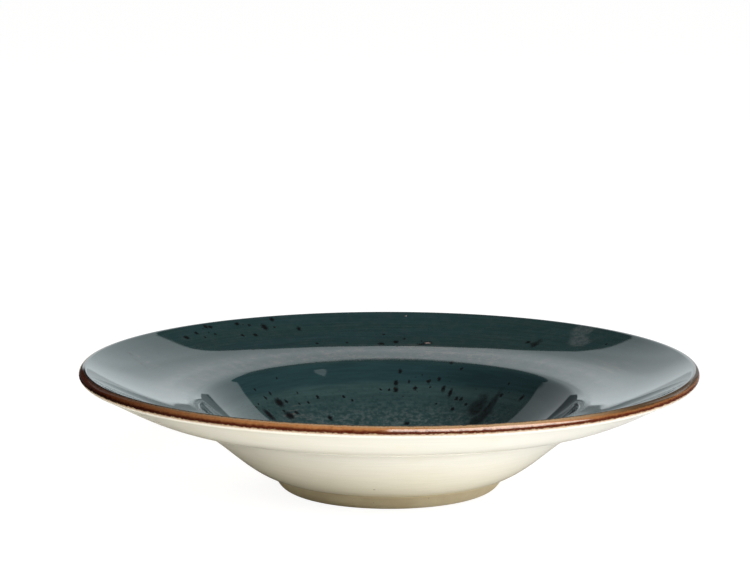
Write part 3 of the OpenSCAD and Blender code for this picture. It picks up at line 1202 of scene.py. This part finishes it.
def screen_level(tree, turn, height):
    """How bright the screen behind the bowl is in the glaze, by turn and height."""
    step = product(tree, window(tree, turn, SCREEN_STEP_TURN, edge=7), -SCREEN_STEP_EL)
    under_top = eased(tree, combine(tree, "ADD", height, step), *SCREEN_TOP_EL)
    within = window(tree, turn, SCREEN_TURN, edge=2)
    from_left = eased(tree, turn, *SCREEN_LEFT_TURN, SCREEN_LEFT_LEVEL, 1)
    from_right = eased(tree, turn, *SCREEN_RIGHT_TURN, SCREEN_RIGHT_LEVEL, 1)

    over_foot = eased(tree, height, *SCREEN_FOOT_EL)
    middle = eased(tree, height, *SCREEN_MIDDLE_EL, SCREEN_MIDDLE_LEVEL, 1)
    middle = product(tree, window(tree, turn, SCREEN_MIDDLE_TURN, edge=0.6), middle)
    beside = window(tree, turn, SCREEN_BESIDE_TURN, edge=1)
    beside = combine(tree, "MULTIPLY_ADD", beside, SCREEN_BESIDE_LEVEL, SCREEN_LOW_LEVEL)
    shown = strongest(tree, over_foot, middle, beside)

    dull = [window(tree, turn, bounds, edge=1.5) for bounds in SCREEN_DULL_TURNS]
    dull = product(tree, combine(tree, "ADD", *dull), eased(tree, height, *SCREEN_DULL_EL))
    values = {
        "Value": height,
        "From Min": SCREEN_FADE_EL[0],
        "From Max": SCREEN_FADE_EL[1],
        "To Min": SCREEN_FADE_LEVELS[0],
        "To Max": SCREEN_FADE_LEVELS[1],
    }
    fading = node(tree, "MapRange", values).outputs["Result"]
    level = product(tree, under_top, from_left, within, shown)
    return product(tree, level, less(tree, dull, SCREEN_DULL_SHARE), fading, from_right)


def make_world():
    """A white screen behind the bowl, a softbox at the front right, a small pane and a dim room."""
    world = bpy.data.worlds.new("studio")
    bpy.context.scene.world = world
    world.use_nodes = True
    tree = world.node_tree
    split = node(tree, "SeparateXYZ", {0: node(tree, "TexCoord").outputs["Generated"]}).outputs
    height = combine(tree, "DEGREES", combine(tree, "ARCSINE", split[2]))
    turn = combine(tree, "DEGREES", combine(tree, "ARCTAN2", split[0], split[1]))
    pane_high = window(tree, height, PANE_EL, edge=0.4)
    pane = product(tree, pane_high, window(tree, turn, PANE_TURN, edge=0.6))
    box_high = window(tree, height, SOFTBOX_EL, edge=1.5)
    softbox = product(tree, box_high, window(tree, turn, SOFTBOX_TURN, edge=1.0))
    seen = scaled(tree, SCREEN_SEEN[:3], screen_level(tree, turn, height))
    seen = vector(tree, "ADD", seen, ROOM_SEEN)
    seen = blended(tree, pane, seen, SCREEN_SEEN)
    seen = blended(tree, softbox, seen, SOFTBOX_SEEN)
    off_bright = combine(tree, "RADIANS", combine(tree, "SUBTRACT", turn, BRIGHT_TURN))
    brightness = eased(tree, combine(tree, "COSINE", off_bright), -1, 1)
    room = blended(tree, brightness, DIM_LEFT, DIM_RIGHT)
    path = node(tree, "LightPath").outputs
    level = blended(tree, path["Is Glossy Ray"], room, seen)
    level = blended(tree, path["Is Camera Ray"], level, WHITE)
    tree.links.new(level, tree.nodes["Background"].inputs["Color"])


def make_key():
    """The softbox's own light, from the front right; the world shows it in the glaze."""
    light = bpy.data.lights.new("softbox", "AREA")
    light.shape = "RECTANGLE"
    light.size = KEY_W
    light.size_y = KEY_H
    light.energy = KEY_WATTS
    light.color = KEY_COLOUR
    lamp = bpy.data.objects.new("softbox", light)
    bpy.context.scene.collection.objects.link(lamp)
    turn = math.radians(KEY_TURN_DEG)
    rise = math.radians(KEY_RISE_DEG)
    way = Vector((math.sin(turn) * math.cos(rise), math.cos(turn) * math.cos(rise), math.sin(rise)))
    spin = way.to_track_quat("Z", "Y").to_matrix().to_4x4()
    lamp.matrix_world = Matrix.Translation(way * KEY_DISTANCE) @ spin
    lamp.visible_glossy = False


def make_camera():
    """The camera that took the photograph."""
    data = bpy.data.cameras.new("camera")
    camera = bpy.data.objects.new("camera", data)
    bpy.context.scene.collection.objects.link(camera)
    bpy.context.scene.camera = camera
    data.sensor_width = SENSOR_W
    data.lens = PX_PER_M * CAMERA_DISTANCE * SENSOR_W / FRAME_W
    data.shift_x = (FRAME_W / 2 - AXIS_PX.x) / FRAME_W
    data.shift_y = (AXIS_PX.y - FRAME_H / 2) / FRAME_W
    rise = math.radians(CAMERA_ELEVATION_DEG)
    aim = Matrix.Translation((0, 0, AIM_H))
    tilt = Matrix.Rotation(math.pi / 2 - rise, 4, "X")
    back_off = Matrix.Translation((0, 0, CAMERA_DISTANCE))
    roll = Matrix.Rotation(math.radians(CAMERA_ROLL_DEG), 4, "Z")
    camera.matrix_world = aim @ tilt @ back_off @ roll


bpy.context.scene.view_settings.view_transform = "Standard"
make_camera()
make_bowl()
make_floor()
make_world()
make_key()
